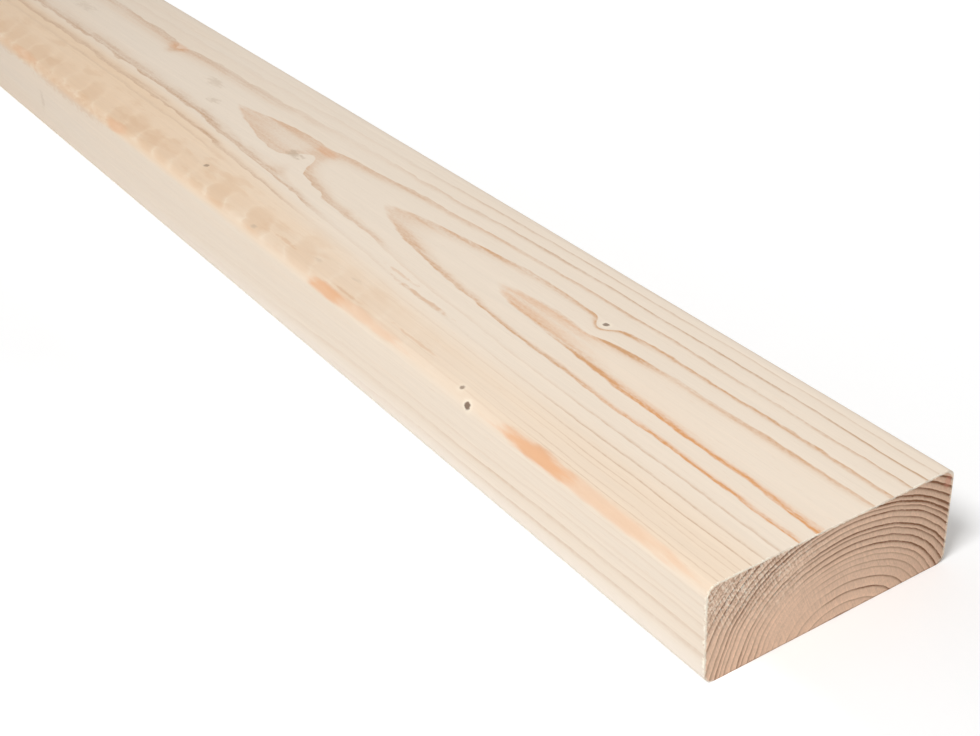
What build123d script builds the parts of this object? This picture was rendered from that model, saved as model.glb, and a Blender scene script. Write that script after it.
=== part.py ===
from build123d import *
import os

# A planed softwood board: one stick of timber, sawn and planed as one piece.
# Millimetres. The board lies flat, with its length along X, its width along Y and its thickness
# along Z. The origin is the middle of the wide face that it rests on. The end at +X is the sawn
# end that shows its growth rings, and the narrow side at -Y is the one beside it.

# The stick as it is sold: planed from a sawn 50 x 125 section and cut to a stock length.
length = 2400.0
width = 120.0
thickness = 44.0

# The planer eases all four long arrises. The two along the -Y side are eased more than the two
# along the +Y side, because the board ran against the fence on that side.
arris_radius_side = 5.5
arris_radius_fence = 4.0

# A wide face and a narrow side keep at least this much flat between their two arrises.
least_flat = 1.0


def eased(radius, across):
    """The radius of an arris, held back only where two would meet across a face."""
    return min(radius, (across - least_flat) / 2)


def planed_section():
    """The cross-section on the YZ plane, seen along the length, standing on Y = 0, Z = 0."""
    outline = Plane.YZ * Pos(0, thickness / 2) * Rectangle(width, thickness)
    side_corners = outline.vertices().filter_by_position(Axis.Y, -width / 2, -width / 2)
    outline = fillet(side_corners, eased(arris_radius_side, min(width, thickness)))
    fence_corners = outline.vertices().filter_by_position(Axis.Y, width / 2, width / 2)
    return fillet(fence_corners, eased(arris_radius_fence, min(width, thickness)))


def plank_board():
    """The stick: its section run along the length, with both ends cut square by a saw."""
    return extrude(planed_section(), amount=length / 2, both=True)


os.makedirs("parts", exist_ok=True)

board = plank_board()
board.label = "plank"
export_step(board, "parts/plank.step")

print(f"plank: {length:.0f} x {width:.0f} x {thickness:.0f} mm, volume {board.volume:.0f} mm3")
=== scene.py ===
import math
import random

import bmesh
import bpy
import numpy as np
from bpy.props import (FloatProperty, FloatVectorProperty, IntProperty,
                       PointerProperty)
from mathutils import Matrix, Vector, noise


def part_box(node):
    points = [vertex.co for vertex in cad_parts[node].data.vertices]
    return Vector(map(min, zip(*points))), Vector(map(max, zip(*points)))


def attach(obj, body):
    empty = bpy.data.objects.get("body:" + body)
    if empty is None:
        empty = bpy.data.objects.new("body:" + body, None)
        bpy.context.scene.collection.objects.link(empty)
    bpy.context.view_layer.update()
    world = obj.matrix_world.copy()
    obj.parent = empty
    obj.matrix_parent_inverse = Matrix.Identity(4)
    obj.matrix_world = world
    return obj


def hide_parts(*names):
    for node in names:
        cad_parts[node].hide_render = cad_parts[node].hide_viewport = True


bl_info = {
    "name": "Planed Softwood Board",
    "version": (1, 0, 0),
    "blender": (4, 5, 0),
    "location": "View3D > Sidebar > Board",
    "description": "A planed softwood board with its growth rings and sawn ends",
    "category": "Add Mesh",
}

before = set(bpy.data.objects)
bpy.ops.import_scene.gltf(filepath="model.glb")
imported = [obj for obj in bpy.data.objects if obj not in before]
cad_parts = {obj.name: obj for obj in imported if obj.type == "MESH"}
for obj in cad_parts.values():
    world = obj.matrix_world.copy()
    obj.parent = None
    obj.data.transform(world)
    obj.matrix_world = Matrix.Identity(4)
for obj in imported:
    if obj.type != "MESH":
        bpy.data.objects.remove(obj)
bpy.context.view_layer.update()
board_low, board_high = (Vector(corner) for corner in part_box("plank"))
board_span = board_high - board_low

MM = 0.001


def shade(red, green, blue):
    """A colour given in screen values, 0 to 255, as linear light with alpha."""
    def light(value):
        value /= 255
        if value <= 0.04045:
            return value / 12.92
        return ((value + 0.055) / 1.055) ** 2.4
    return (light(red), light(green), light(blue), 1.0)


# The trunk that the board was cut from, in millimetres. Places along the board are
# counted back from the ringed end. The board shows for about 800 mm in the photo, and
# what lies further back is invented.

# How deep the pith runs below the top face. The places up to 760 mm, but for the one at
# 500 mm, were fitted by a program outside this script to lines read off the photo.
pith_depths = ((0, 63.8), (120, 64.2), (228, 65.2), (330, 67.2), (440, 68.8),
               (500, 69.95), (540, 70.2), (640, 70.5), (760, 70.4), (900, 71.5),
               (1200, 74.0), (1500, 73.0), (1800, 76.0), (2100, 79.0), (2400, 80.0))

# How far the pith runs to the fence side of the board's middle, fitted up to 760 mm too.
pith_offsets = ((0, 7.9), (120, 8.7), (228, 9.4), (330, 10.8), (440, 12.0),
                (540, 12.7), (640, 11.8), (760, 11.4), (1000, 9.0), (1300, 5.0),
                (1700, 2.0), (2000, 6.0), (2400, 9.0))

# The rings are wider across the board than through it.
ring_squash = 0.9

# How far the rings stray outwards from round, by degrees from straight up. They were
# fitted as well, and then partly changed.
ring_strays = ((-90, -6.0), (-75, -5.0), (-60, -2.9), (-45, 0.0), (-30, 1.1),
               (-15, 0.5), (0, 0.0), (15, -0.6), (60, -0.6), (90, -0.6))

# Each dark line's distance from the pith, and how strong the line is. Those at 69.7, 72.9
# and 75.8 were fitted, and those that no seen face cuts are guesses.
dark_lines = ((5.0, 0.5), (10.5, 0.5), (15.5, 0.4), (20.5, 0.5), (25.0, 0.3),
              (29.8, 0.7), (34.2, 0.6), (38.0, 0.3), (40.8, 0.35), (43.4, 0.25),
              (45.7, 0.4), (48.3, 0.75), (51.2, 0.7), (53.9, 0.6), (55.8, 0.9),
              (58.4, 0.5), (61.1, 0.8), (63.0, 0.5), (64.9, 1.0), (67.0, 0.9),
              (69.7, 0.7), (72.9, 1.0), (75.8, 0.9), (78.2, 0.6), (79.6, 0.3),
              (82.6, 0.55), (84.6, 0.5), (86.5, 0.5), (88.6, 0.55), (91.0, 0.6),
              (93.6, 0.5), (96.4, 0.6), (99.0, 0.5), (101.6, 0.6), (104.4, 0.5),
              (107.3, 0.6), (110.0, 0.5))
outermost = dark_lines[-1][0]

# Knots run outwards from the pith: place along the board, degrees from
# straight up, half width of the knot itself, how dark it is, how far the wood
# around it swells, and how far along and across the board the swelling reaches.
knots = (
    ("pin_knot", 166.0, 10.9, 1.15, 0.78, 1.9, 4.0, 4.5),
    ("arris_knot", 151.0, -44.9, 1.08, 0.88, 0.4, 7.0, 6.0),
    ("arris_pin", 160.5, -42.0, 0.62, 0.66, 0.2, 5.0, 4.0),
    ("grown_over", 410.0, -7.8, 0.0, 0.0, 2.1, 7.5, 9.0),
    ("far_pin", 437.0, -35.0, 0.9, 0.55, 0.3, 5.0, 4.0),
    ("buried_twig", 620.0, 7.2, 0.0, 0.0, 1.3, 4.5, 5.0),
    ("first_whorl_fence", 1010.0, 26.0, 4.5, 0.75, 2.4, 13.0, 11.0),
    ("first_whorl_side", 1022.0, -37.0, 3.5, 0.85, 2.0, 11.0, 9.0),
    ("second_whorl_middle", 1476.0, -12.0, 6.0, 0.70, 3.0, 16.0, 13.0),
    ("second_whorl_fence", 1490.0, 41.0, 3.5, 0.80, 1.8, 10.0, 8.0),
    ("third_whorl_side", 1934.0, -27.0, 5.0, 0.70, 2.6, 14.0, 11.0),
    ("last_twig", 2236.0, 13.0, 1.6, 0.80, 1.2, 7.0, 6.0),
)

# Marks on the surface: place along the board, across it and up, and half
# their size each way, all in millimetres, then how strong they are.
resin_marks = (
    ("resin_by_end", (-103, -58.0, 42.2), (20, 3.4, 3.0), 0.85),
    ("resin_by_end_tail", (-68, -58.0, 42.2), (54, 3.0, 2.8), 0.38),
    ("resin_middle", (-273, -58.0, 42.4), (14, 3.0, 2.6), 0.72),
    ("resin_middle_tail", (-243, -57.5, 43.0), (34, 3.2, 2.4), 0.36),
    ("resin_far", (-524, -57.5, 42.6), (13, 3.2, 2.6), 0.55),
    ("resin_farthest", (-677, -57.0, 42.8), (18, 3.6, 2.6), 0.42),
    ("resin_in_swelling", (-411, 18.5, 44.0), (11, 3.2, 5.0), 0.50),
    ("resin_at_twig", (-622, 26.0, 44.0), (10, 4.2, 5.0), 0.42),
)
grey_marks = (
    ("grey_in_swelling", (-420, 3.0, 44.0), (6, 2.4, 5.0), 0.70),
    ("grey_near", (-548, 16.5, 44.0), (8, 3.2, 5.0), 0.36),
    ("grey_middle", (-522, 3.0, 44.0), (5, 2.4, 5.0), 0.36),
    ("grey_far", (-743, 10.0, 44.0), (13, 3.2, 5.0), 0.28),
    ("fleck_one", (-353, -55.0, 43.5), (2.6, 1.3, 3.0), 0.60),
    ("fleck_two", (-300, -47.0, 44.0), (3.4, 0.9, 3.0), 0.30),
    ("fleck_three", (-270, -43.0, 44.0), (3.2, 0.9, 3.0), 0.28),
    ("side_mark", (-648, -60.0, 21.5), (2.6, 3.0, 5.0), 0.30),
)
brown_marks = (
    ("brown_dash", (-236, -27.8, 44.0), (19, 1.0, 3.0), 0.55),
    ("short_dash", (-262, -23.5, 44.0), (12, 0.8, 3.0), 0.35),
    ("strip_dash_one", (-205, -50.5, 44.0), (15, 0.7, 3.0), 0.35),
    ("strip_dash_two", (-262, -53.0, 44.0), (11, 0.8, 3.0), 0.40),
    ("strip_dash_three", (-328, -50.0, 44.0), (10, 0.9, 3.0), 0.35),
    ("under_arris", (-600, -59.0, 40.0), (48, 3.5, 3.4), 0.30),
    ("under_arris_far", (-705, -59.0, 41.0), (30, 3.5, 3.0), 0.25),
)

# Tool marks, in millimetres: how far apart the knife scales lie, how far they run back
# for each millimetre across, and how far apart the fine ripples of the planer lie.
scale_pitch = 22.5
scale_slant = 0.75
ripple_pitch = 3.1

# The slant of the saw across an end: its run across and its rise.
saw_run, saw_rise = 0.92, 0.39

# Mesh cells round each arris beside the seen side and on the fence side.
side_cells, fence_cells = 5, 4

# The torn fibres: the seed of their random draws, and how deep they are rooted.
fibre_seed = 44
fibre_root = 0.5 * MM


# Sizes and colours that a user would change.

def length_value(name, millimetres, description, **limits):
    return FloatProperty(name=name, default=millimetres * MM, unit="LENGTH",
                         description=description, **limits)


def tint_value(name, red, green, blue, description):
    return FloatVectorProperty(name=name, subtype="COLOR", size=4,
                               default=shade(red, green, blue), description=description)


class BoardSizes(bpy.types.PropertyGroup):
    arris_side: length_value(
        "Side arris", 5.5, "Radius of the two long arrises beside the seen side", min=0.0)
    arris_fence: length_value(
        "Fence arris", 4.0, "Radius of the two long arrises on the fence side", min=0.0)
    cells_across: IntProperty(
        name="Cells across", default=71, min=20,
        description="Mesh cells across the width of the board")
    cells_up: IntProperty(
        name="Cells up", default=30, min=12,
        description="Mesh cells through the thickness of the board")
    rows: IntProperty(name="Rows", default=436, min=50, description="Mesh rows along the board")
    close_reach: length_value(
        "Close rows", 820, "Length at the ringed end whose rows lie close together")
    chatter_depth: length_value(
        "Chatter depth", 0.16, "Depth of the scales that the planer knives left")
    wander: length_value("Arris wander", 0.20, "How far the planed surface strays from true")
    saw_depth: length_value("Saw mark depth", 0.15, "Depth of the marks of the saw on the two ends")
    fibre_count: IntProperty(
        name="Torn fibres", default=520, min=0,
        description="Loose fibres round the edge of each sawn end")
    fibre_reach: length_value("Fibre reach", 0.3, "How far torn fibres stand out of the sawn end")


class BoardColours(bpy.types.PropertyGroup):
    earlywood: tint_value("Earlywood", 237, 222, 204, "Planed wood between the dark lines")
    sapwood: tint_value("Outer wood", 237, 210, 180, "Planed wood of the outer rings")
    latewood: tint_value("Latewood", 207, 160, 117,
                         "The dark lines near the middle of the top face")
    side_latewood: tint_value("Outer latewood", 196, 162, 130,
                              "The dark lines towards the edges and on the sides")
    resin_line: tint_value("Resin in a line", 221, 155, 96,
                           "Dark lines that hold resin, beside the ringed end")
    resin: tint_value("Resin", 223, 170, 128, "Resin streaks along the arris")
    chatter: tint_value("Chatter", 217, 178, 140, "Wood burnished by the planer knives")
    smudge: tint_value("Smudge", 196, 174, 150, "Small grey marks on the planed faces")
    # Painted light: the seen side is painted paler low down, most towards the ringed end.
    painted_low_light: tint_value("Pale side", 244, 236, 226, "Paler wood low on the seen side")
    knot_core: tint_value("Knot", 104, 78, 58, "The knot itself")
    knot_halo: tint_value("Wood round a knot", 247, 234, 214, "Pale wood grown round a knot")
    end_earlywood: tint_value("End earlywood", 227, 193, 167,
                              "Sawn end wood between the dark lines")
    # The end latewood colour also paints the contact shadow along an end's bottom rim and the shade
    # in its torn hollows.
    end_latewood: tint_value("End latewood", 132, 92, 66, "The dark lines on a sawn end")
    blush: tint_value("Blush", 214, 140, 118, "A reddish touch in the upper corner by the fence")
    # The fibre colour is the loose fibres' own colour and the dust of the torn corner. It is also
    # the painted highlight on the rim of a sawn end and on the light specks next to it.
    fibre: tint_value("Torn fibre", 254, 246, 230, "Loose fibres and the lit rim of a sawn end")
    floor: tint_value("Floor", 240, 240, 240, "The pale floor under the board")


# Node building.

class Bench:
    """Puts nodes into one tree. A value may be a socket, a number or a colour."""

    def __init__(self, tree):
        self.tree = tree
        self.count = 0

    def put(self, kind, **settings):
        node = self.tree.nodes.new(kind)
        node.location = (240 * (self.count // 7), -190 * (self.count % 7))
        self.count += 1
        for name, value in settings.items():
            setattr(node, name, value)
        return node

    def feed(self, socket, value):
        if isinstance(value, bpy.types.NodeSocket):
            self.tree.links.new(value, socket)
        elif value is not None:
            socket.default_value = value

    def sum(self, operation, *values, clamp=False):
        node = self.put("ShaderNodeMath", operation=operation, use_clamp=clamp)
        for socket, value in zip(node.inputs, values):
            self.feed(socket, value)
        return node.outputs[0]

    def plus(self, first, *others):
        for other in others:
            first = self.sum("ADD", first, other)
        return first

    def minus(self, first, second):
        return self.sum("SUBTRACT", first, second)

    def times(self, first, *others):
        for other in others:
            first = self.sum("MULTIPLY", first, other)
        return first

    def most(self, first, *others):
        for other in others:
            first = self.sum("MAXIMUM", first, other)
        return first

    def vector(self, operation, *values):
        node = self.put("ShaderNodeVectorMath", operation=operation)
        for socket, value in zip(node.inputs, values):
            self.feed(socket, value)
        if operation in ("LENGTH", "DISTANCE", "DOT_PRODUCT"):
            return node.outputs["Value"]
        return node.outputs["Vector"]

    def split(self, vector):
        node = self.put("ShaderNodeSeparateXYZ")
        self.feed(node.inputs[0], vector)
        return node.outputs

    def join(self, x, y, z):
        node = self.put("ShaderNodeCombineXYZ")
        for socket, value in zip(node.inputs, (x, y, z)):
            self.feed(socket, value)
        return node.outputs[0]

    def span(self, value, start, end, low=0.0, high=1.0, soft=True):
        """Low at start, high at end, eased between them."""
        node = self.put("ShaderNodeMapRange", interpolation_type="SMOOTHSTEP" if soft else "LINEAR")
        for name, given in (("Value", value), ("From Min", start),
                            ("From Max", end), ("To Min", low), ("To Max", high)):
            self.feed(node.inputs[name], given)
        return node.outputs["Result"]

    def blend(self, share, first, second, kind="MIX"):
        node = self.put("ShaderNodeMix", data_type="RGBA", blend_type=kind)
        self.feed(node.inputs[0], share)
        self.feed(node.inputs[6], first)
        self.feed(node.inputs[7], second)
        return node.outputs[2]

    def grain_noise(self, place, stretch, detail=2.0, rough=0.5):
        """Noise whose spots are as large as stretch, from about -0.5 to 0.5."""
        node = self.put("ShaderNodeTexNoise", noise_dimensions="3D")
        scaled = self.vector("DIVIDE", place, stretch)
        self.feed(node.inputs["Vector"], scaled)
        self.feed(node.inputs["Scale"], 1.0)
        self.feed(node.inputs["Detail"], detail)
        self.feed(node.inputs["Roughness"], rough)
        return self.minus(node.outputs[0], 0.5)

    def graph(self, value, points, reach, low, high, handle="AUTO_CLAMPED"):
        """A smooth curve through points: value from 0 to reach in, the number
        there out."""
        node = self.put("ShaderNodeFloatCurve")
        curve = node.mapping.curves[0]
        while len(curve.points) < len(points):
            curve.points.new(0.5, 0.5)
        for point, (at, number) in zip(curve.points, points):
            point.location = (at / reach, (number - low) / (high - low))
            point.handle_type = handle
        node.mapping.update()
        self.feed(node.inputs["Value"], self.sum("DIVIDE", value, reach))
        return self.plus(self.times(node.outputs[0], high - low), low)

    def bump(self, height, strength, millimetres):
        """The normal of a surface with this relief."""
        node = self.put("ShaderNodeBump")
        self.feed(node.inputs["Strength"], strength)
        self.feed(node.inputs["Distance"], millimetres * MM)
        self.feed(node.inputs["Height"], height)
        return node.outputs[0]

    def fill(self, sockets, **values):
        """Feeds sockets by their names, with underscores for spaces."""
        for name, value in values.items():
            self.feed(sockets[name.replace("_", " ").capitalize()], value)

    def group(self, tree, **values):
        node = self.put("ShaderNodeGroup", node_tree=tree)
        self.fill(node.inputs, **values)
        return node.outputs

    def far(self, first, second):
        """How far off a point is, from how far it is each way."""
        return self.sum("SQRT", self.plus(self.times(first, first), self.times(second, second)))


def new_group(name, inputs, outputs):
    """An empty node group with its sockets, and its bench, entry and exit. An input
    with no default is a place, and all other sockets are numbers."""
    old = bpy.data.node_groups.get(name)
    if old:
        bpy.data.node_groups.remove(old)
    tree = bpy.data.node_groups.new(name, "ShaderNodeTree")
    for label, default in inputs.items():
        kind = "NodeSocketVector" if default is None else "NodeSocketFloat"
        socket = tree.interface.new_socket(label, in_out="INPUT", socket_type=kind)
        if default is not None:
            socket.default_value = default
    for label in outputs:
        tree.interface.new_socket(label, in_out="OUTPUT", socket_type="NodeSocketFloat")
    bench = Bench(tree)
    entry = bench.put("NodeGroupInput")
    leave = bench.put("NodeGroupOutput")
    leave.location = (3200, 0)
    return tree, bench, entry.outputs, leave.inputs


def trunk_group():
    """Where a place in the board lies in the trunk: its distance from the
    pith and its direction, in degrees from straight up."""
    tree, b, given, result = new_group(
        "trunk",
        {"Place": None, "Top": 44.0}, ("Distance", "Direction", "Along"))
    x, y, z = b.split(given["Place"])
    along = b.times(x, -1.0)
    length = board_span.x / MM
    depth = b.graph(along, pith_depths, length, 60.0, 84.0)
    offset = b.graph(along, pith_offsets, length, 0.0, 16.0)
    across = b.times(b.minus(y, offset), ring_squash)
    above = b.plus(b.minus(z, given["Top"]), depth)
    direction = b.times(b.sum("ARCTAN2", across, above), 180 / math.pi)
    b.fill(result, distance=b.far(across, above), direction=direction, along=along)
    return tree


def knot_group():
    """One knot that runs outwards from the pith."""
    tree, b, given, result = new_group(
        "knot",
        {"Distance": 60.0, "Direction": 0.0, "Along": 0.0, "Uneven": 0.0,
         "Knot along": 0.0, "Knot direction": 0.0, "Half width": 1.0, "Darkness": 1.0,
         "Swell": 1.0, "Reach along": 6.0, "Reach across": 5.0},
        ("Core", "Halo", "Swelling"))
    ahead = b.minus(given["Along"], given["Knot along"])
    turned = b.minus(given["Direction"], given["Knot direction"])
    beside = b.times(turned, given["Distance"], math.pi / 180)
    from_axis = b.sum("SQRT", b.plus(b.times(ahead, ahead, 0.6), b.times(beside, beside)))
    grown = b.times(given["Half width"], b.sum("DIVIDE", given["Distance"], 66.0))
    edge = b.minus(from_axis, b.plus(grown, b.times(given["Uneven"], grown, 0.9)))
    there = b.sum("GREATER_THAN", given["Half width"], 0.01)
    core = b.times(b.span(edge, 0.45, -0.35), there, given["Darkness"])
    halo = b.times(b.span(edge, 2.2, 0.2), there, b.span(given["Darkness"], 0.55, 0.8))
    # A steep rise close in and a long low one along the grain.
    spread = b.sum("DIVIDE", ahead, given["Reach along"])
    side = b.sum("DIVIDE", beside, given["Reach across"])
    near = b.sum("EXPONENT", b.times(b.plus(b.times(spread, spread), b.times(side, side)), -0.5))
    far = b.sum("EXPONENT", b.times(b.plus(b.times(spread, spread, 0.08),
                                           b.times(side, side, 0.2)), -0.5))
    rise = b.plus(b.times(near, 0.85), b.times(far, 0.2))
    b.fill(result, core=core, halo=halo, swelling=b.times(rise, given["Swell"]))
    return tree


def ring_group():
    """The growth rings: dark latewood at the outer edge of each ring, sharp
    on its outer side and fading inwards."""
    tree, b, given, result = new_group(
        "growth rings",
        {"Distance": 60.0, "Direction": 0.0, "Place": None, "Swelling": 0.0,
         "Waver": 1.0, "Band": 0.5, "Core": 0.2, "Wide": 1.0},
        ("Latewood", "Fade", "Ring tone", "Ring place", "Strength"))
    stray = b.graph(b.plus(given["Direction"], 90.0),
                    tuple((at + 90, by) for at, by in ring_strays),
                    180.0, -7.0, 3.0)
    slow = b.times(b.grain_noise(given["Place"], (46, 16, 16), 2.0), 0.75)
    quick = b.times(b.grain_noise(given["Place"], (9, 2.6, 2.6), 2.0), 0.42)
    along = b.times(b.split(given["Place"])[0], -1.0)
    ripple = b.times(b.grain_noise(given["Place"], (21, 8, 8), 1.5),
                     b.span(along, 180.0, 430.0, 0.3, 1.9))
    # Where a face runs nearly along a ring, a small waver shows large.
    calm = b.span(b.sum("ABSOLUTE", given["Direction"]), 3.0, 15.0, 0.35, 1.0)
    waver = b.times(given["Waver"], calm)
    calmer = b.times(ripple, b.span(b.sum("ABSOLUTE", given["Direction"]), 8.0, 18.0, 0.1, 1.0))
    radius = b.plus(b.minus(given["Distance"], stray), given["Swelling"],
                    b.times(b.plus(slow, quick, calmer), waver))
    count = len(dark_lines)
    reached = ((0.0, 0),) + tuple((line[0], number + 1) for number, line in enumerate(dark_lines))
    ring = b.graph(radius, reached, outermost, 0.0, count)
    number = b.sum("FLOOR", ring)
    part = b.minus(ring, number)
    middle = b.plus(number, 0.5)
    starts = (0.0,) + tuple(line[0] for line in dark_lines[:-1])
    widths = tuple((i + 0.5, dark_lines[i][0] - starts[i]) for i in range(count))
    width = b.graph(middle, widths, count, 0.0, 8.0, "VECTOR")
    strengths = tuple((i + 0.5, dark_lines[i][1]) for i in range(count))
    strength = b.graph(middle, strengths, count, 0.0, 1.0, "VECTOR")
    inward = b.times(b.minus(1.0, part), width)
    past = b.times(part, width)
    # Strong lines are thick ones.
    thick = b.plus(0.6, b.times(strength, 0.5))
    band = b.span(inward, b.times(thick, given["Band"]), b.times(thick, given["Band"], 0.25))
    core = b.span(inward, b.times(thick, given["Core"]), b.times(thick, given["Core"], 0.2))
    band = b.plus(b.times(band, 0.5), b.times(core, 0.5))
    wide = b.sum("EXPONENT", b.sum("DIVIDE", b.times(inward, -1.0), given["Wide"]))
    tone = b.put("ShaderNodeTexWhiteNoise", noise_dimensions="1D")
    b.feed(tone.inputs["W"], middle)
    # The line's outer edge is sharper, but not a knife cut.
    before = b.span(past, 0.0, 0.14, 1.0, 0.0)
    b.fill(result, latewood=b.times(b.most(band, before), strength),
           fade=b.times(wide, strength), ring_tone=b.minus(tone.outputs["Value"], 0.5),
           ring_place=part, strength=strength)
    return tree


def mark_group():
    """A soft-edged mark at one place on the board."""
    tree, b, given, result = new_group(
        "mark",
        {"Place": None, "Centre": None, "Half size": None, "Strength": 1.0,
         "Uneven": 0.0, "Softness": 0.5}, ("Mask",))
    away = b.vector("DIVIDE", b.vector("SUBTRACT", given["Place"], given["Centre"]),
                    given["Half size"])
    reach = b.plus(b.vector("LENGTH", away), given["Uneven"])
    mask = b.span(reach, b.plus(1.0, given["Softness"]), b.minus(1.0, given["Softness"]))
    b.fill(result, mask=b.times(mask, given["Strength"]))
    return tree


def fibre_group():
    """Fine streaks that run with the grain."""
    tree, b, given, result = new_group(
        "fibre",
        {"Place": None}, ("Fine", "Coarse", "Patch", "Pore"))
    place = given["Place"]
    dash = b.grain_noise(place, (7.0, 0.30, 0.30), 1.0)
    b.fill(result, fine=b.grain_noise(place, (26, 0.42, 0.42), 2.0, 0.6),
           coarse=b.grain_noise(place, (85, 2.6, 2.6), 2.0),
           patch=b.grain_noise(place, (190, 26, 26), 2.0), pore=b.span(dash, 0.17, 0.30))
    return tree


def outline_group():
    """How far inside the outline of the section a place lies."""
    tree, b, given, result = new_group(
        "outline",
        {"Place": None, "Half width": board_span.y / 2 / MM,
         "Half thickness": board_span.z / 2 / MM, "Arris": 5.0}, ("Inside",))
    _, y, z = b.split(given["Place"])
    over_y = b.plus(b.minus(b.sum("ABSOLUTE", y), given["Half width"]), given["Arris"])
    level = b.sum("ABSOLUTE", b.minus(z, given["Half thickness"]))
    over_z = b.plus(b.minus(level, given["Half thickness"]), given["Arris"])
    out_y, out_z = b.most(over_y, 0.0), b.most(over_z, 0.0)
    flat = b.sum("MINIMUM", b.most(over_y, over_z), 0.0)
    b.fill(result, inside=b.minus(given["Arris"], b.plus(b.far(out_y, out_z), flat)))
    return tree


def board_place(b):
    """Places in the board in millimetres, measured from the ringed end."""
    coordinates = b.put("ShaderNodeTexCoord")
    mapping = b.put("ShaderNodeMapping", vector_type="POINT")
    mapping.inputs["Scale"].default_value = (1000, 1000, 1000)
    mapping.inputs["Location"].default_value = (-board_high.x / MM, 0, 0)
    b.feed(mapping.inputs["Vector"], coordinates.outputs["Object"])
    return mapping.outputs[0]


def new_material(name, rough, gloss):
    """A material with a bench and its Principled shader."""
    old = bpy.data.materials.get(name)
    if old:
        bpy.data.materials.remove(old)
    material = bpy.data.materials.new(name)
    material.use_nodes = True
    material.node_tree.nodes.clear()
    b = Bench(material.node_tree)
    out = b.put("ShaderNodeOutputMaterial")
    shader = b.put("ShaderNodeBsdfPrincipled")
    out.location, shader.location = (5200, 0), (4900, 0)
    shader.inputs["Roughness"].default_value = rough
    shader.inputs["Specular IOR Level"].default_value = gloss
    b.feed(out.inputs["Surface"], shader.outputs[0])
    return material, b, shader.inputs


class Wood:
    """What the parts of a wood material share: its bench, colours and groups, and
    where each place of the board lies in the trunk."""

    def __init__(self, b, colours, groups):
        self.b, self.colours, self.groups = b, colours, groups
        self.place = board_place(b)
        self.x, self.y, self.z = b.split(self.place)
        self.trunk = b.group(groups["trunk"], place=self.place, top=board_high.z / MM)
        self.along, self.turn = self.trunk["Along"], self.trunk["Direction"]

    def back(self, start, stop, low=0.0, high=1.0):
        """A span along the board, counted back from the ringed end."""
        return self.b.span(self.along, start, stop, low, high)

    def noise(self, *settings):
        return self.b.grain_noise(self.place, *settings)

    def rings(self, **settings):
        return self.b.group(self.groups["rings"], place=self.place, direction=self.turn,
                            distance=self.trunk["Distance"], **settings)

    def mark(self, centre, half_size, strength, uneven, softness):
        """Where one soft-edged mark shows."""
        return self.b.group(self.groups["mark"], place=self.place, centre=centre,
                            half_size=half_size, strength=strength, uneven=uneven,
                            softness=softness)["Mask"]

    def tint(self, colour, share, name):
        """A colour with a share of a named one over it."""
        return self.b.blend(share, colour, self.colours[name])


def knot_masks(wood):
    """How all the knots swell the rings, where the knots themselves show, and the
    pale wood round them."""
    b = wood.b
    swelling, core, halo = 0.0, 0.0, 0.0
    bark = wood.noise((2.2, 1.1, 1.1), 2.0)
    for _, along, direction, half_width, darkness, swell, reach, breadth in knots:
        knot = b.group(wood.groups["knot"], uneven=bark, distance=wood.trunk["Distance"],
                       direction=wood.turn, along=wood.along,
                       knot_along=along, knot_direction=direction,
                       half_width=half_width, darkness=darkness, swell=swell,
                       reach_along=reach, reach_across=breadth)
        swelling = b.plus(knot["Swelling"], swelling)
        if half_width:
            core = b.most(knot["Core"], core)
            halo = b.most(knot["Halo"], halo)
    return swelling, core, halo


def ground_colour(wood, rings, fibre, beside):
    """The wood between the lines: outer wood is warmer, and so is the side strip
    further back."""
    b, y = wood.b, wood.y
    back = wood.back(200.0, 560.0)
    outer = b.span(b.plus(y, b.times(back, -18.0)), -26.0, -44.0)
    up = b.span(wood.z, 38.0, 43.0)
    warm = b.plus(b.times(outer, up, b.plus(0.40, b.times(back, 0.55))),
                  b.times(fibre["Patch"], 0.5), b.times(rings["Ring tone"], 0.12),
                  b.times(wood.back(420.0, 900.0), 0.22))
    colour = wood.tint(wood.colours["earlywood"], b.most(warm, 0.0), "sapwood")
    # Fine and coarse grain vary the tone. The seen side, and more its upper arris, is painted a
    # little darker as shade against the light that falls on it. The wood also darkens a little from
    # 560 to 900 mm back.
    grain_and_painted_shade = b.plus(1.0, b.times(fibre["Fine"], 0.11), b.times(fibre["Coarse"], 0.08),
                    b.times(rings["Ring tone"], 0.014), b.times(beside, -0.025),
                    b.times(beside, up, -0.03), wood.back(560.0, 900.0, 0.0, -0.05))
    colour = b.vector("SCALE", colour, None, None, grain_and_painted_shade)
    return wood.tint(colour, b.times(fibre["Pore"], 0.22), "latewood")


def line_share(wood, beside):
    """How much of the dark lines each part of the planed faces shows."""
    b, y = wood.b, wood.y
    # On the seen side the lines are faint, and back from the end they die out.
    high_side = wood.back(40.0, 150.0, 0.34, 0.10)
    side_line = b.times(b.span(wood.z, 34.0, 18.0, high_side, 0.46),
                        wood.back(60.0, 420.0, 1.0, 0.40))
    # Under the knife scales the lines die out too.
    strip_line = b.span(b.times(b.span(y, -26.0, -34.0), wood.back(190.0, 380.0)),
                        0.0, 1.0, 1.0, 0.10)
    shown = b.plus(b.times(beside, side_line),
                   b.times(b.minus(1.0, beside), strip_line,
                           b.span(y, -19.0, -26.0, 1.0, 0.75)))
    # They fade towards the fence further back, and on its arris everywhere.
    fence_line = b.span(b.times(b.span(y, 25.0, 38.0), wood.back(160.0, 460.0)),
                        0.0, 1.0, 1.0, 0.22)
    return b.times(shown, fence_line, b.span(y, 50.0, 53.0, 1.0, 0.35))


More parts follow.
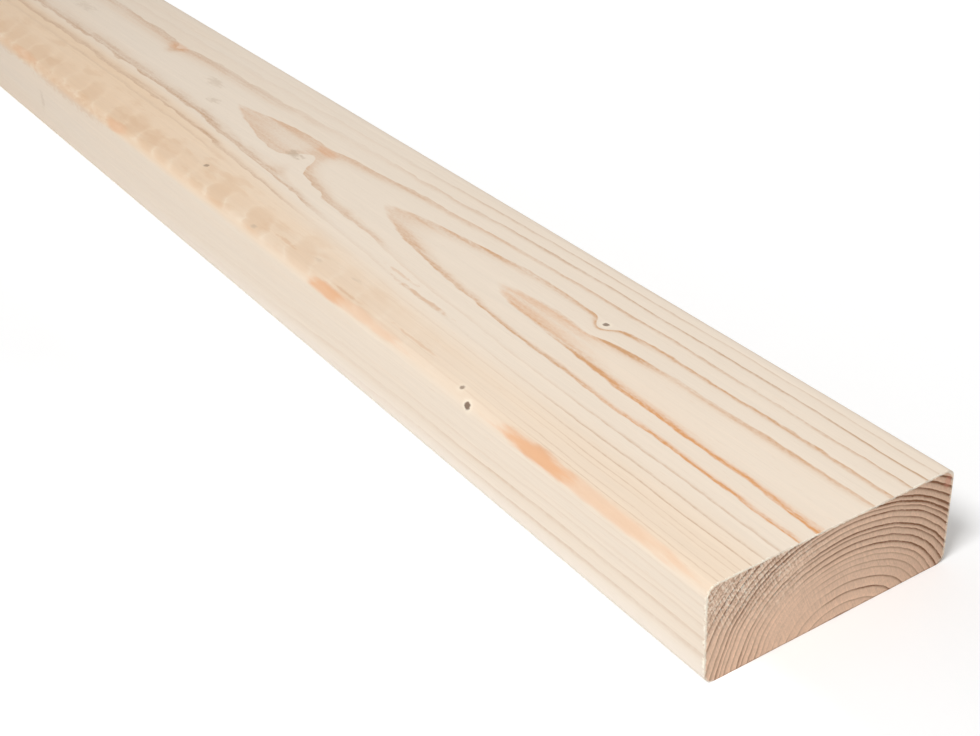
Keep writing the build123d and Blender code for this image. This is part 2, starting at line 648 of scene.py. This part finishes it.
def line_colour(wood, spread):
    """The dark lines are browner to either side of the pith, and orange with resin."""
    b, turn = wood.b, wood.turn
    lean = b.sum("ABSOLUTE", turn)
    aged = b.most(b.span(lean, 12.0, 30.0),
                  b.times(wood.back(150.0, 560.0, 0.0, 0.8), b.span(lean, 7.0, 15.0)))
    browner = wood.tint(wood.colours["latewood"], aged, "side_latewood")
    # Resin lies in the innermost lines next to the ringed end.
    orange = b.times(b.span(turn, -26.0, -20.0), b.span(turn, -2.0, -6.0), wood.back(170.0, 90.0))
    # Where the first line spreads flat there is a little resin too.
    flat_resin = b.times(b.span(spread, 1.0, 0.5), wood.back(300.0, 240.0))
    tinged = b.most(b.times(orange, 0.75), b.times(flat_resin, 0.45))
    return wood.tint(browner, tinged, "resin_line")


def dark_lines_over(wood, colour, rings, fibre, beside):
    """The dark lines on the planed faces."""
    b, turn = wood.b, wood.turn
    line = b.plus(b.times(rings["Latewood"], 0.80), b.times(rings["Fade"], 0.10))
    rough_line = wood.noise((2.4, 0.9, 0.9), 2.0, 0.6)
    line = b.times(line, b.plus(1.0, b.times(fibre["Coarse"], 2.4),
                                b.times(fibre["Fine"], 0.6), b.times(rough_line, 1.5)))
    # Where a face runs nearly along a ring its line is spread out and pale.
    flat_share = wood.back(260.0, 420.0, 0.46, 0.70)
    spread = b.most(b.span(turn, -3.5, -11.0, flat_share, 1.0),
                    b.span(turn, 1.0, 4.5, flat_share, 1.0))
    line = b.times(line, spread, wood.back(120.0, 260.0, 1.0, 0.78),
                   wood.back(420.0, 620.0, 1.0, 0.90))
    # The innermost line is weak on its fence side, close to the ringed end.
    weak = b.times(b.span(turn, 2.0, 5.0), b.span(turn, 15.0, 12.5), wood.back(150.0, 105.0))
    line = b.times(line, b.span(weak, 0.0, 1.0, 1.0, 0.6))
    # The next lines on the side strip come and go.
    lost = b.times(b.span(turn, -17.0, -20.5), wood.back(70.0, 170.0),
                   wood.back(400.0, 310.0), b.minus(1.0, beside))
    line = b.times(line, b.span(lost, 0.0, 1.0, 1.0, 0.30))
    return b.blend(b.times(line, line_share(wood, beside)), colour, line_colour(wood, spread))


def knife_scales(wood, colour):
    """Scales that the planer knives left along the side arris."""
    b, y = wood.b, wood.y
    sway = wood.noise((26, 11, 11), 2.0)
    row = b.plus(b.sum("DIVIDE", b.plus(wood.along, b.times(y, -scale_slant)), scale_pitch),
                 b.times(sway, 0.9))
    scale_number = b.sum("FLOOR", row)
    dice = b.put("ShaderNodeTexWhiteNoise", noise_dimensions="1D")
    b.feed(dice.inputs["W"], scale_number)
    luck = dice.outputs["Value"]
    ahead = b.sum("DIVIDE", b.minus(b.minus(row, scale_number), 0.5), 0.54)
    middle = b.plus(-47.0, b.times(luck, -4.0))
    beside_it = b.sum("DIVIDE", b.minus(b.plus(y, b.times(sway, 14.0)), middle),
                      b.plus(11.0, b.times(luck, 3.5)))
    from_middle = b.far(ahead, beside_it)
    scale = b.times(b.span(from_middle, 1.18, 0.54), b.span(y, -33.0, -49.0, 0.35, 1.0))
    worn = b.span(b.sum("FRACT", b.times(luck, 7.0)), 0.0, 1.0, 0.30, 1.0)
    strip = b.times(b.span(y, -59.5, -57.0), b.span(wood.z, 38.0, 43.0),
                    wood.back(140.0, 380.0), wood.back(860.0, 660.0, 0.40, 1.0))
    gap = b.times(b.span(from_middle, 0.85, 1.2), strip, b.span(y, -46.0, -54.0))
    colour = wood.tint(colour, b.times(gap, 0.26), "knot_halo")
    colour = wood.tint(colour, b.times(scale, strip, worn, 0.45), "chatter")
    outer = b.span(b.plus(y, b.times(wood.back(200.0, 560.0), -10.0)), -30.0, -42.0)
    cloud = b.times(b.span(wood.noise((30, 9, 9), 3.0, 0.6), 0.0, 0.16), outer, strip)
    return wood.tint(colour, b.times(cloud, 0.30), "chatter")


def surface_marks(wood, colour):
    """Resin streaks, grey marks and brown dashes."""
    uneven = wood.b.times(wood.noise((14, 2.4, 2.4), 3.0), 1.3)
    ragged = wood.b.times(wood.noise((6.0, 2.0, 2.0), 3.0), 3.2)
    for marks, tint, edge, softness in (
            (resin_marks, "resin", uneven, 0.45), (grey_marks, "smudge", ragged, 0.65),
            (brown_marks, "latewood", ragged, 0.60)):
        for _, centre, half_size, strength in marks:
            mask = wood.mark(centre, half_size, strength, edge, softness)
            colour = wood.tint(colour, mask, tint)
    return colour


def splinter_specks_and_highlight(wood, colour, beside):
    """Light and dark specks where the edge is splintered, next to the ringed end. The
    light specks are a painted highlight.
    """
    b = wood.b
    speck = wood.noise((1.3, 0.9, 0.9), 2.0, 0.7)
    here = b.span(wood.noise((9, 6, 6), 2.0), -0.12, 0.12, 0.45, 1.0)
    close = b.times(wood.back(b.plus(1.3, b.times(beside, 1.7)), 0.3), here)
    # Painted highlight: light specks in the fibre colour along the edge.
    lit = b.times(b.span(b.plus(speck, b.times(close, 0.34)), 0.18, 0.28), close)
    colour = wood.tint(colour, b.times(lit, 0.90), "fibre")
    dark = b.times(b.span(speck, -0.08, -0.18), close, beside)
    return wood.tint(colour, b.times(dark, 0.70), "side_latewood")


def planed_wood(colours, groups):
    """The planed faces and arrises."""
    material, b, shader = new_material("planed_softwood", 0.6, 0.25)
    wood = Wood(b, colours, groups)
    fibre = b.group(groups["fibre"], place=wood.place)
    swelling, core, halo = knot_masks(wood)
    # The lines are thin beside the ringed end and broad further back, and
    # broader on the seen side than on the top.
    beside = b.span(wood.y, -53.0, -58.0)
    broad = b.plus(1.0, beside)
    rings = wood.rings(swelling=swelling, wide=1.1,
                       band=b.times(wood.back(100.0, 620.0, 0.60, 2.0), broad),
                       core=b.times(wood.back(100.0, 620.0, 0.36, 1.15), broad))

    colour = ground_colour(wood, rings, fibre, beside)
    colour = dark_lines_over(wood, colour, rings, fibre, beside)
    colour = surface_marks(wood, knife_scales(wood, colour))
    # Painted light: the seen side is painted paler low down, most towards the ringed end.
    low = b.times(beside, b.span(wood.z, 17.0, 3.0), wood.back(700.0, 200.0))
    colour = wood.tint(colour, b.times(low, 0.55), "painted_low_light")
    colour = wood.tint(colour, b.times(halo, 0.55), "knot_halo")
    colour = wood.tint(colour, core, "knot_core")
    b.feed(shader["Base Color"], splinter_specks_and_highlight(wood, colour, beside))
    b.feed(shader["Roughness"], b.plus(0.62, b.times(rings["Latewood"], -0.12),
                                       b.times(fibre["Fine"], 0.12)))

    ripple = b.sum("SINE", b.plus(b.times(wood.x, 2 * math.pi / ripple_pitch),
                                  b.times(fibre["Patch"], 5.0)))
    height = b.plus(b.times(fibre["Fine"], 0.8), b.times(ripple, 0.10))
    b.feed(shader["Normal"], b.bump(height, 0.6, 0.06))
    return material


def saw_texture(wood):
    """Rays run outwards from the pith, and the saw crosses them at a slant and
    leaves grit and blotches."""
    b, y, z = wood.b, wood.y, wood.z
    spoke = b.join(wood.turn, b.sum("DIVIDE", wood.trunk["Distance"], 9.0), 0.0)
    ray = b.grain_noise(spoke, (0.9, 1.0, 1.0), 2.0, 0.6)
    slant = b.join(0.0, b.plus(b.times(y, saw_run), b.times(z, saw_rise)),
                   b.minus(b.times(z, saw_run), b.times(y, saw_rise)))
    tooth = b.grain_noise(slant, (1.0, 0.5, 9.0), 3.0, 0.6)
    return ray, tooth, wood.noise((0.8, 0.8, 0.8), 2.0, 0.7), wood.noise((20, 13, 9), 2.0)


def end_lines(wood, colour, rings, fence, low_side, grit, blotch):
    """The dark lines of an end. The saw has smeared them over one patch and a
    smaller one above it, and they are fainter low down beside the seen side."""
    b = wood.b
    line = b.plus(b.times(rings["Latewood"], 0.82), b.times(rings["Fade"], 0.26))
    clear = b.plus(1.0, b.times(fence, 0.30), b.times(blotch, 1.2), b.times(grit, 1.5))
    edge = b.times(blotch, 1.6)
    smear = b.most(wood.mark((0, -19, 13), (9, 14, 12), 0.85, edge, 0.6),
                   wood.mark((0, -18, 34), (9, 6, 4), 0.65, edge, 0.6))
    clear = b.times(clear, b.minus(1.0, smear), b.minus(1.0, b.times(low_side, 0.45)))
    return wood.tint(colour, b.times(line, clear), "end_latewood")


def torn_corner(wood, colour, tooth, grit, blotch):
    """Torn, dusty wood in the upper corner by the side, where the saw left."""
    b = wood.b
    torn_at = wood.mark((0, -50, 41), (30, 36, 17), 1.0, b.times(blotch, 0.8), 0.7)
    rough = b.plus(grit, b.times(tooth, 0.6))
    dust = b.times(torn_at, b.span(rough, -0.03, 0.17))
    colour = wood.tint(colour, b.times(dust, 0.66), "fibre")
    # Painted shade: dark specks in the torn hollows, in the end latewood colour.
    painted_hollow_shade = b.times(torn_at, b.span(rough, -0.06, -0.22))
    return wood.tint(colour, b.times(painted_hollow_shade, 0.50), "end_latewood")


def painted_rim_light_and_shadow(wood, colour):
    """A painted highlight on the rim of splinters along the top and the sides, and a
    painted contact shadow that darkens the rim along the bottom."""
    b, y, z = wood.b, wood.y, wood.z
    inside = b.group(wood.groups["outline"], place=wood.place)["Inside"]
    ragged = b.plus(inside, b.times(wood.noise((1.0, 1.3, 1.3), 3.0, 0.75), 2.2))
    upper = b.most(b.span(z, 38.0, 42.0), b.span(y, -54.0, -57.0), b.span(y, 56.0, 58.5, 0.0, 0.6))
    torn_edge = b.times(b.span(y, -20.0, -38.0), b.span(z, 20.0, 34.0))
    here = b.most(torn_edge, b.span(wood.noise((3, 6, 6), 2.0), -0.12, 0.10, 0.70, 1.0))
    # Painted highlight along the upper rim and the two sides.
    rim = b.times(b.span(ragged, 1.15, 0.50), upper, here, 0.92)
    # Painted contact shadow along the bottom rim, in the end latewood colour.
    under = b.times(b.span(ragged, 0.7, 0.3), b.span(z, 5.0, 1.5))
    colour = wood.tint(colour, rim, "fibre")
    return wood.tint(colour, b.times(under, 0.45), "end_latewood")


def sawn_wood(colours, groups):
    """The two sawn ends, with the rings seen end on."""
    material, b, shader = new_material("sawn_end_grain", 0.8, 0.15)
    wood = Wood(b, colours, groups)
    y, z = wood.y, wood.z
    rings = wood.rings(waver=1.1, band=1.5, core=1.05, wide=1.0)
    ray, tooth, grit, blotch = saw_texture(wood)

    fence = b.span(y, 5.0, 58.0)
    low_side = b.times(b.span(y, 0.0, -50.0), b.span(z, 40.0, 12.0))
    pale_edge = b.times(b.span(rings["Ring place"], 0.45, 0.05),
                        b.span(rings["Ring place"], 0.0, 0.05), rings["Strength"])
    tone = b.plus(1.02, b.times(pale_edge, 0.12), b.times(low_side, 0.10),
                  b.times(ray, 0.16), b.times(tooth, 0.42), b.times(grit, 0.42),
                  b.times(blotch, 0.12), b.times(rings["Ring tone"], 0.05))
    # Partly painted shade: the end's ground is darkened towards the fence, where its lines are also
    # denser.
    colour = wood.tint(colours["end_earlywood"], b.times(fence, 0.13), "end_latewood")
    colour = b.vector("SCALE", colour, None, None, tone)
    colour = end_lines(wood, colour, rings, fence, low_side, grit, blotch)
    blush = wood.mark((0, 57.0, 38.5), (4, 1.8, 2.6), 0.4, b.times(grit, 1.2), 0.5)
    colour = torn_corner(wood, wood.tint(colour, blush, "blush"), tooth, grit, blotch)
    b.feed(shader["Base Color"], painted_rim_light_and_shadow(wood, colour))
    b.feed(shader["Roughness"], b.plus(0.82, b.times(rings["Latewood"], -0.08), b.times(grit, 0.1)))

    height = b.plus(b.times(rings["Latewood"], 0.7), b.times(tooth, 0.7),
                    b.times(grit, 0.8), b.times(ray, 0.3))
    b.feed(shader["Normal"], b.bump(height, 0.7, 0.14))
    return material


def loose_fibre(colours):
    """The torn fibres that stand out of the sawn ends."""
    material, b, shader = new_material("torn_fibre", 0.7, 0.2)
    fleck = b.grain_noise(board_place(b), (2.0, 1.4, 1.4), 2.0)
    b.feed(shader["Base Color"], b.blend(b.span(fleck, 0.02, 0.30), colours["fibre"],
                                         colours["end_earlywood"]))
    b.feed(shader["Roughness"], b.plus(0.7, b.times(fleck, 0.3)))
    b.feed(shader["Normal"], b.bump(fleck, 0.4, 0.05))
    return material


def seen_straight(b):
    """1 where the camera sees a thing itself, in a mirror or through glass."""
    path = b.put("ShaderNodeLightPath").outputs
    return b.most(path["Is Camera Ray"], path["Is Glossy Ray"], path["Is Transmission Ray"])


def white_floor(colours):
    """A pale floor that keeps the board's shadow."""
    material, b, shader = new_material("pale_floor", 1.0, 0.0)
    coordinates = b.put("ShaderNodeTexCoord")
    speck = b.grain_noise(coordinates.outputs["Object"], (0.5, 0.5, 0.5), 2.0)
    seen = seen_straight(b)
    card = b.blend(b.plus(0.5, b.times(speck, 0.2)), colours["floor"], shade(237, 237, 237))
    b.feed(shader["Base Color"], b.blend(seen, card, (1, 1, 1, 1)))
    shader["Emission Color"].default_value = (1, 1, 1, 1)
    # The card is white wherever nothing shades it: it makes up for what the
    # lamps don't give further off, and on the lit side close to the board.
    spot = coordinates.outputs["Object"]
    lack = 1.0 - sky_share
    for _, aim, direction, distance, _, share in lamps:
        away = Vector(direction).normalized()
        lamp_at = Vector(aim) + away * distance
        reach = b.vector("SUBTRACT", tuple(lamp_at), spot)
        far = b.vector("LENGTH", reach)
        turned = b.vector("DOT_PRODUCT", reach, tuple(away))
        lit = b.sum("DIVIDE", b.times(turned, share * distance ** 2 * lamp_at.z),
                    b.sum("POWER", far, 4.0))
        lack = b.minus(lack, lit)
    front = b.split(spot)[1]
    edge = b.times(b.span(front, board_low.y - 0.10, board_low.y, 0.0, 0.26),
                   b.span(front, board_low.y + 0.035, board_low.y + 0.002))
    b.feed(shader["Emission Strength"],
           b.times(seen, b.plus(b.times(b.most(lack, 0.0), 1.15), edge)))
    return material


# The board's mesh.

def stops_across(sizes):
    """Share of the mesh cells against place across the board."""
    left, right = sizes.arris_side, sizes.arris_fence
    cells = sizes.cells_across
    return ((0.0, side_cells / cells, 1 - fence_cells / cells, 1.0),
            (board_low.y, board_low.y + left, board_high.y - right, board_high.y))


def section_point(sizes, across, up):
    """One point of the rounded section, from shares of 0 to 1."""
    shares, places = stops_across(sizes)
    y = float(np.interp(across, shares, places))
    corner_cells = side_cells / sizes.cells_up
    levels = []
    for radius in (sizes.arris_side, sizes.arris_fence):
        levels.append(float(np.interp(
            up, (0.0, corner_cells, 1 - corner_cells, 1.0),
            (board_low.z, board_low.z + radius, board_high.z - radius,
             board_high.z))))
    mix = (y - board_low.y) / board_span.y
    z = levels[0] * (1 - mix) + levels[1] * mix
    # In each corner the square cells are drawn in to a quarter round.
    on_side = y < board_low.y + sizes.arris_side + 1e-7
    on_fence = y > board_high.y - sizes.arris_fence - 1e-7
    if on_side or on_fence:
        radius = sizes.arris_side if on_side else sizes.arris_fence
        z = levels[0] if on_side else levels[1]
        centre_y = board_low.y + radius if on_side else board_high.y - radius
        centre_z = min(max(z, board_low.z + radius), board_high.z - radius)
        off_y, off_z = y - centre_y, z - centre_z
        square = max(abs(off_y), abs(off_z))
        round_ = math.hypot(off_y, off_z)
        if round_ > 1e-9:
            y = centre_y + off_y * square / round_
            z = centre_z + off_z * square / round_
    return y, z


def chatter_relief(along, y, z):
    """Depth, from 0 to 1, of the knife scales beside the side arris."""
    strip = np.interp(y, (-0.0590, -0.0560, -0.0400, -0.0330), (0.35, 1, 1, 0))
    reach = np.interp(along, (0.33, 0.40, 0.66, 0.82), (0, 1, 0.8, 0.2))
    if z < 0.036 or strip * reach < 0.01:
        return 0.0
    phase = (along - scale_slant * y) / (scale_pitch * MM)
    phase += 0.3 * noise.noise(Vector((along * 38, y * 90, 3.7)))
    return strip * reach * (0.5 - 0.5 * math.cos(2 * math.pi * phase))


def surface_relief(sizes, x, y, z):
    """How far a point of the planed surface lies below true."""
    along = board_high.x - x
    wander = 0.5 + 0.5 * noise.noise(Vector((x * 9.0, y * 55.0, z * 55.0)))
    fine = 0.5 + 0.5 * noise.noise(Vector((x * 60.0, y * 240.0, z * 240.0)))
    depth = sizes.wander * (0.6 * wander + 0.4 * fine)
    return depth + sizes.chatter_depth * chatter_relief(along, y, z)


def saw_relief(sizes, y, z):
    """How far a point of a sawn end lies below true."""
    slant_a, slant_b = saw_run * y + saw_rise * z, saw_run * z - saw_rise * y
    tooth = 0.5 + 0.5 * noise.noise(Vector((slant_a * 520.0, slant_b * 60.0, 1.3)))
    swell = 0.5 + 0.5 * noise.noise(Vector((y * 40.0, z * 60.0, 8.1)))
    return sizes.saw_depth * (0.6 * tooth + 0.4 * swell)


def row_places(sizes):
    """Place along the board of each mesh row, from the far end: close together at
    the ringed end, and closest next to both sawn edges. The sawn faces lie back
    from the tips of their torn fibres."""
    far, close = board_low.x + sizes.fibre_reach, board_high.x - sizes.fibre_reach
    shares = (0.0, 0.010, 0.030, 0.300, 0.975, 0.992, 1.0)
    places = (far, far + 0.002, far + 0.020, close - sizes.close_reach, close - 0.012,
              close - 0.002, close)
    return shares, places


def board_mesh(sizes):
    """One closed mesh of the board: a rounded section drawn along X."""
    mesh = bmesh.new()
    bmesh.ops.create_grid(mesh, x_segments=sizes.cells_across, y_segments=sizes.cells_up, size=1.0)
    for vert in mesh.verts:
        y, z = section_point(sizes, (vert.co.x + 1) / 2, (vert.co.y + 1) / 2)
        vert.co = Vector((0.0, y, z))
    drawn = bmesh.ops.extrude_face_region(mesh, geom=mesh.faces[:])
    moved = [item for item in drawn["geom"] if isinstance(item, bmesh.types.BMVert)]
    bmesh.ops.translate(mesh, verts=moved, vec=(1.0, 0, 0))
    long_edges = [edge for edge in mesh.edges if abs(edge.verts[0].co.x - edge.verts[1].co.x) > 0.5]
    bmesh.ops.subdivide_edges(mesh, edges=long_edges, cuts=sizes.rows - 1, use_grid_fill=True)
    bmesh.ops.recalc_face_normals(mesh, faces=mesh.faces[:])
    mesh.normal_update()

    shares, places = row_places(sizes)
    for vert in mesh.verts:
        share = vert.co.x
        x = float(np.interp(share, shares, places))
        y, z = vert.co.y, vert.co.z
        out = Vector((0, vert.normal.y, vert.normal.z))
        if out.length > 0.1:
            out.normalize()
            vert.co -= out * surface_relief(sizes, x, y, z)
        if share < 1e-6 or share > 1 - 1e-6:
            inward = 1 if share < 0.5 else -1
            x += inward * saw_relief(sizes, y, z)
        vert.co.x = x
    # The board stands on its bottom face.
    lift = min(vert.co.z for vert in mesh.verts) - board_low.z
    bmesh.ops.translate(mesh, verts=mesh.verts[:], vec=(0, 0, -lift))

    mesh.normal_update()
    for face in mesh.faces:
        at_end = abs(face.normal.x) > 0.7
        face.material_index = 1 if at_end else 0
        face.smooth = True
    for edge in mesh.edges:
        kinds = {face.material_index for face in edge.link_faces}
        edge.smooth = len(kinds) == 1
    return mesh


def fibre_spot(sizes, chance):
    """Where one fibre stands on an end. Most stand along the top and beside the
    side corner."""
    half = board_span.y / 2
    pick = chance.random()
    inset = abs(chance.gauss(0, 0.35)) * MM + 0.15 * MM
    if pick < 0.52:
        y = -half + 5 * MM + (chance.random() ** 1.4) * (2 * half - 9 * MM)
        return y, board_high.z - inset
    if pick < 0.74:
        return -half + inset, chance.uniform(5 * MM, 39 * MM)
    if pick < 0.86:
        turn = chance.uniform(0, math.pi / 2)
        radius = sizes.arris_side - inset
        return (-half + sizes.arris_side - radius * math.cos(turn),
                board_high.z - sizes.arris_side + radius * math.sin(turn))
    if pick < 0.94:
        y = -half + abs(chance.gauss(0, 12)) * MM + 1 * MM
        z = board_high.z - abs(chance.gauss(0, 7)) * MM - 1 * MM
        return y, max(z, 6 * MM)
    return half - inset, chance.uniform(5 * MM, 39 * MM)


def fibre_mesh(sizes):
    """Short tapered fibres round the edges of both sawn ends."""
    chance = random.Random(fibre_seed)
    mesh = bmesh.new()
    for end in (1, -1):
        face_x = board_high.x if end > 0 else board_low.x
        for _ in range(sizes.fibre_count):
            y, z = fibre_spot(sizes, chance)
            reach = sizes.fibre_reach * chance.uniform(0.35, 1.0)
            thick = chance.uniform(0.06, 0.17) * MM
            lean = Vector((end, chance.gauss(0, 0.5), chance.gauss(0, 0.5))).normalized()
            length = fibre_root + reach
            middle = Vector((face_x, y, z)) - lean * (sizes.fibre_reach - reach + length / 2)
            turned = lean.to_track_quat("Z", "Y").to_matrix().to_4x4()
            bmesh.ops.create_cone(mesh, cap_ends=True, segments=4, radius1=thick,
                                  radius2=thick * 0.25, depth=length,
                                  matrix=Matrix.Translation(middle) @ turned)
    bmesh.ops.recalc_face_normals(mesh, faces=mesh.faces[:])
    # Nothing stands out of the board's own box.
    for vert in mesh.verts:
        for axis in range(3):
            vert.co[axis] = min(max(vert.co[axis], board_low[axis]), board_high[axis])
    return mesh


def place_piece(name, mesh, materials):
    """A finished mesh as an object at the origin."""
    data = bpy.data.meshes.new(name)
    mesh.to_mesh(data)
    mesh.free()
    for material in materials:
        data.materials.append(material)
    piece = bpy.data.objects.new(name, data)
    bpy.context.scene.collection.objects.link(piece)
    return piece


def wood_groups():
    """The effects that the wood materials share."""
    return {"trunk": trunk_group(), "knot": knot_group(), "rings": ring_group(),
            "mark": mark_group(), "fibre": fibre_group(),
            "outline": outline_group()}


def colour_values(context):
    """The chosen colours by name."""
    chosen = context.scene.board_colours
    return {name: tuple(getattr(chosen, name)) for name in BoardColours.__annotations__}


class BOARD_OT_make_plank(bpy.types.Operator):
    """Make the planed board with its two sawn ends"""
    bl_idname = "board.make_plank"
    bl_label = "Make plank"

    def execute(self, context):
        groups, colours = wood_groups(), colour_values(context)
        piece = place_piece("planed_plank", board_mesh(context.scene.board_sizes),
                            (planed_wood(colours, groups), sawn_wood(colours, groups)))
        if not piece.data.polygons:
            raise RuntimeError("the plank has no faces")
        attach(piece, "root")
        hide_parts("plank")
        return {"FINISHED"}


class BOARD_OT_make_fibres(bpy.types.Operator):
    """Make the torn fibres round the sawn ends"""
    bl_idname = "board.make_fibres"
    bl_label = "Make torn fibres"

    def execute(self, context):
        piece = place_piece("torn_fibres", fibre_mesh(context.scene.board_sizes),
                            (loose_fibre(colour_values(context)),))
        if not piece.data.polygons:
            raise RuntimeError("there are no torn fibres")
        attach(piece, "root")
        return {"FINISHED"}


# The stage: camera, floor and light.

# The soft light from all round, as a share of white, and the lamps: what each
# is aimed at, the direction it stands in, how far off, its size and its share.
sky_share = 0.47
lamps = (
    ("key_lamp", (1.05, 0.0, 0.044), (0.333, -0.686, 1.0), 1.5, 0.46, 0.655),
    ("far_lamp", (-0.75, 0.0, 0.044), (0.0, -0.35, 0.94), 1.0, 0.60, 0.40),
)

# The camera's place in the board's frame, in metres, and the way it looks, solved
# outside this script from the straight edges of the board.
camera_place = Vector((1.52903, -0.34945, 0.39353))
camera_turn = math.radians(57.818)
camera_rise = math.radians(30.856)
camera_roll = math.radians(-2.793)
camera_lens = 59.80


def make_camera(scene):
    """The camera that sees the board as the photo does."""
    back = Vector((math.sin(camera_turn) * math.cos(camera_rise),
                   -math.cos(camera_turn) * math.cos(camera_rise),
                   math.sin(camera_rise)))
    right = (-back).cross(Vector((0, 0, 1))).normalized()
    down = (-back).cross(right)
    level, tilt = math.cos(camera_roll), math.sin(camera_roll)
    right, down = right * level - down * tilt, right * tilt + down * level
    data = bpy.data.cameras.new("studio_camera")
    data.lens = camera_lens
    data.sensor_width = 36.0
    data.sensor_fit = "HORIZONTAL"
    data.clip_start = 0.01
    camera = bpy.data.objects.new("studio_camera", data)
    turned = Matrix((right, -down, back)).transposed().to_4x4()
    camera.matrix_world = Matrix.Translation(camera_place) @ turned
    scene.collection.objects.link(camera)
    scene.camera = camera


def make_lamp(scene, name, aim, direction, distance, size, share):
    """A soft square lamp, whose share is how bright it makes a white card
    that faces it where it is aimed."""
    away = Vector(direction).normalized()
    data = bpy.data.lights.new(name, "AREA")
    data.shape = "SQUARE"
    data.size = size
    data.energy = share * math.pi ** 2 * distance ** 2
    lamp = bpy.data.objects.new(name, data)
    lamp.visible_camera = False
    turned = away.to_track_quat("Z", "Y").to_matrix().to_4x4()
    lamp.matrix_world = Matrix.Translation(Vector(aim) + away * distance) @ turned
    scene.collection.objects.link(lamp)


def make_world(scene):
    """White where the camera looks past the board, softer as light."""
    world = bpy.data.worlds.new("studio_white")
    world.use_nodes = True
    world.node_tree.nodes.clear()
    b = Bench(world.node_tree)
    out = b.put("ShaderNodeOutputWorld")
    ground = b.put("ShaderNodeBackground")
    ground.inputs["Color"].default_value = (1, 1, 1, 1)
    b.feed(ground.inputs["Strength"],
           b.span(seen_straight(b), 0.0, 1.0, sky_share, 1.0, soft=False))
    b.feed(out.inputs["Surface"], ground.outputs[0])
    scene.world = world


class BOARD_OT_make_stage(bpy.types.Operator):
    """Make the camera, the floor and the studio light"""
    bl_idname = "board.make_stage"
    bl_label = "Make stage"

    def execute(self, context):
        scene = context.scene
        scene.view_settings.view_transform = "Standard"
        make_camera(scene)
        mesh = bmesh.new()
        bmesh.ops.create_grid(mesh, x_segments=1, y_segments=1, size=9.0)
        floor = place_piece("pale_floor", mesh, (white_floor(colour_values(context)),))
        for lamp in lamps:
            make_lamp(scene, *lamp)
        make_world(scene)
        if scene.camera is None:
            raise RuntimeError("the camera wasn't made")
        return {"FINISHED"}


class BOARD_PT_panel(bpy.types.Panel):
    """Lists the board's pieces, sizes and colours"""
    bl_idname = "BOARD_PT_panel"
    bl_label = "Planed softwood board"
    bl_space_type = "VIEW_3D"
    bl_region_type = "UI"
    bl_category = "Board"

    def draw(self, context):
        for name in ("board.make_plank", "board.make_fibres", "board.make_stage"):
            self.layout.operator(name)
        for holder in (context.scene.board_sizes, context.scene.board_colours):
            box = self.layout.box()
            for name in type(holder).__annotations__:
                box.prop(holder, name)


classes = (BoardSizes, BoardColours, BOARD_OT_make_plank, BOARD_OT_make_fibres,
           BOARD_OT_make_stage, BOARD_PT_panel)


def register():
    for item in classes:
        bpy.utils.register_class(item)
    bpy.types.Scene.board_sizes = PointerProperty(type=BoardSizes)
    bpy.types.Scene.board_colours = PointerProperty(type=BoardColours)


def unregister():
    del bpy.types.Scene.board_colours
    del bpy.types.Scene.board_sizes
    for item in reversed(classes):
        bpy.utils.unregister_class(item)


def main():
    register()
    bpy.ops.board.make_stage()
    bpy.ops.board.make_plank()
    bpy.ops.board.make_fibres()


if __name__ == "__main__":
    main()
